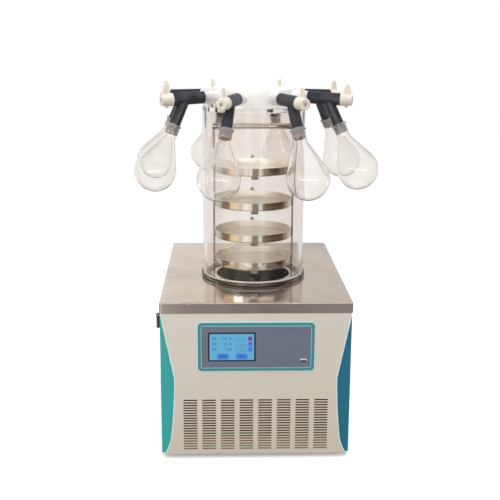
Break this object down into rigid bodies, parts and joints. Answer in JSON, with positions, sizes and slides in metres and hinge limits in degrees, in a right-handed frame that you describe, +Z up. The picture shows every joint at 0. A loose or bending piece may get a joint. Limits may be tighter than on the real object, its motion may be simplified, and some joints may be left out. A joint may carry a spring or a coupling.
{
  "type": "benchtop freeze dryer",
  "caption": "Benchtop freeze dryer: cabinet with touch panel and steel deck, clear drying chamber with a tray rack, and a clear top manifold with rubber valves and round glass flasks.",
  "frame": {"origin": "on the bench, under the middle of the whole unit's outline, at the level of the feet's undersides", "axes": "+Z up; the front with the control panel faces -Y; +X to the right of someone in front of it"},
  "size_m": [0.6002, 0.6921, 0.8762],
  "materials": {
    "bare_sheet": "galvanised",
    "black_enamel": "gloss enamel",
    "black_rubber": "satin",
    "board_green": "lacquered",
    "bright_metal": "plated",
    "clear_acrylic": "clear, polished",
    "clear_glass": "clear",
    "copper": "drawn tube",
    "cream_shell": "fine satin powder coat",
    "dark_metal": "dull plated",
    "dark_plastic": "satin moulded",
    "deck_steel": "brushed",
    "display": "glossy glass front",
    "foam": "cut foam",
    "panel_face": "printed film",
    "panel_frame": "satin moulded",
    "plug_plastic": "satin moulded",
    "steel": "polished rims, brushed faces",
    "teal_case": "fine textured powder coat",
    "teal_left": "satin powder coat",
    "teal_right": "satin powder coat"
  },
  "bodies": {
    "root": {"back_panel": "teal_case", "base_pan": "bare_sheet", "chamber_cylinder": "clear_acrylic", "chamber_top_plate": "clear_acrylic", "cold_trap_well": "steel", "compressor": "black_enamel", "compressor_grommets": "black_rubber", "condenser": "bare_sheet", "control_bezel": "panel_frame", "control_board": "board_green", "control_plate": "panel_face", "deck_top": "deck_steel", "drain_line": "steel", "evaporator_coil": "copper", "fan_motor": "black_enamel", "fan_shroud": "bare_sheet", "feet": "black_rubber", "flask_1": "clear_glass", "flask_2": "clear_glass", "flask_3": "clear_glass", "flask_4": "clear_glass", "flask_5": "clear_glass", "flask_6": "clear_glass", "flask_7": "clear_glass", "flask_8": "clear_glass", "front_panel": "cream_shell", "left_corner_trim": "teal_left", "left_side_panel": "teal_case", "manifold_drum": "clear_acrylic", "manifold_lid": "clear_acrylic", "power_inlet": "dark_plastic", "power_supply": "bare_sheet", "rack_frame": "steel", "refrigerant_lines": "copper", "right_corner_trim": "teal_right", "right_side_panel": "teal_case", "seal_ring": "black_rubber", "switch_housing": "dark_plastic", "touch_screen": "display", "trap_insulation": "foam", "tray_1": "steel", "tray_2": "steel", "tray_3": "steel", "tray_4": "steel", "usb_socket": "bright_metal", "vacuum_port": "steel", "valve_bodies": "black_rubber", "vent_fitting": "dark_metal", "vent_line": "copper"},
    "plug_1": {"valve_plug_1": "plug_plastic"},
    "plug_2": {"valve_plug_2": "plug_plastic"},
    "plug_3": {"valve_plug_3": "plug_plastic"},
    "plug_4": {"valve_plug_4": "plug_plastic"},
    "plug_5": {"valve_plug_5": "plug_plastic"},
    "plug_6": {"valve_plug_6": "plug_plastic"},
    "plug_7": {"valve_plug_7": "plug_plastic"},
    "plug_8": {"valve_plug_8": "plug_plastic"},
    "rocker": {"switch_rocker": "dark_plastic"},
    "fan": {"fan_rotor": "dark_plastic"}
  },
  "joints": [
    {"name": "plug_1_turn", "type": "hinge", "parent": "root", "child": "plug_1", "pos_m": [0.09576, -0.24333, 0.83975], "axis": [0.438, -0.8981, -0.0401], "range_deg": [0, 180]},
    {"name": "plug_2_turn", "type": "hinge", "parent": "root", "child": "plug_2", "pos_m": [0.20653, -0.11811, 0.83975], "axis": [0.9448, -0.3253, -0.0401], "range_deg": [0, 180]},
    {"name": "plug_3_turn", "type": "hinge", "parent": "root", "child": "plug_3", "pos_m": [0.19633, 0.04875, 0.83975], "axis": [0.8981, 0.438, -0.0401], "range_deg": [0, 180]},
    {"name": "plug_4_turn", "type": "hinge", "parent": "root", "child": "plug_4", "pos_m": [0.07111, 0.15953, 0.83975], "axis": [0.3253, 0.9448, -0.0401], "range_deg": [0, 180]},
    {"name": "plug_5_turn", "type": "hinge", "parent": "root", "child": "plug_5", "pos_m": [-0.09576, 0.14933, 0.83975], "axis": [-0.438, 0.8981, -0.0401], "range_deg": [0, 180]},
    {"name": "plug_6_turn", "type": "hinge", "parent": "root", "child": "plug_6", "pos_m": [-0.20653, 0.02412, 0.83975], "axis": [-0.9448, 0.3253, -0.0401], "range_deg": [0, 180]},
    {"name": "plug_7_turn", "type": "hinge", "parent": "root", "child": "plug_7", "pos_m": [-0.19633, -0.14275, 0.83975], "axis": [-0.8981, -0.438, -0.0401], "range_deg": [0, 180]},
    {"name": "plug_8_turn", "type": "hinge", "parent": "root", "child": "plug_8", "pos_m": [-0.07111, -0.25353, 0.83975], "axis": [-0.3253, -0.9448, -0.0401], "range_deg": [0, 180]},
    {"name": "power_rocker", "type": "hinge", "parent": "root", "child": "rocker", "pos_m": [-0.104, 0.3049, 0.12], "axis": [1, 0, 0], "range_deg": [0, 16]},
    {"name": "fan_spin", "type": "hinge", "parent": "root", "child": "fan", "pos_m": [0, -0.2335, 0.0812], "axis": [0, 1, 0], "continuous": true}
  ]
}
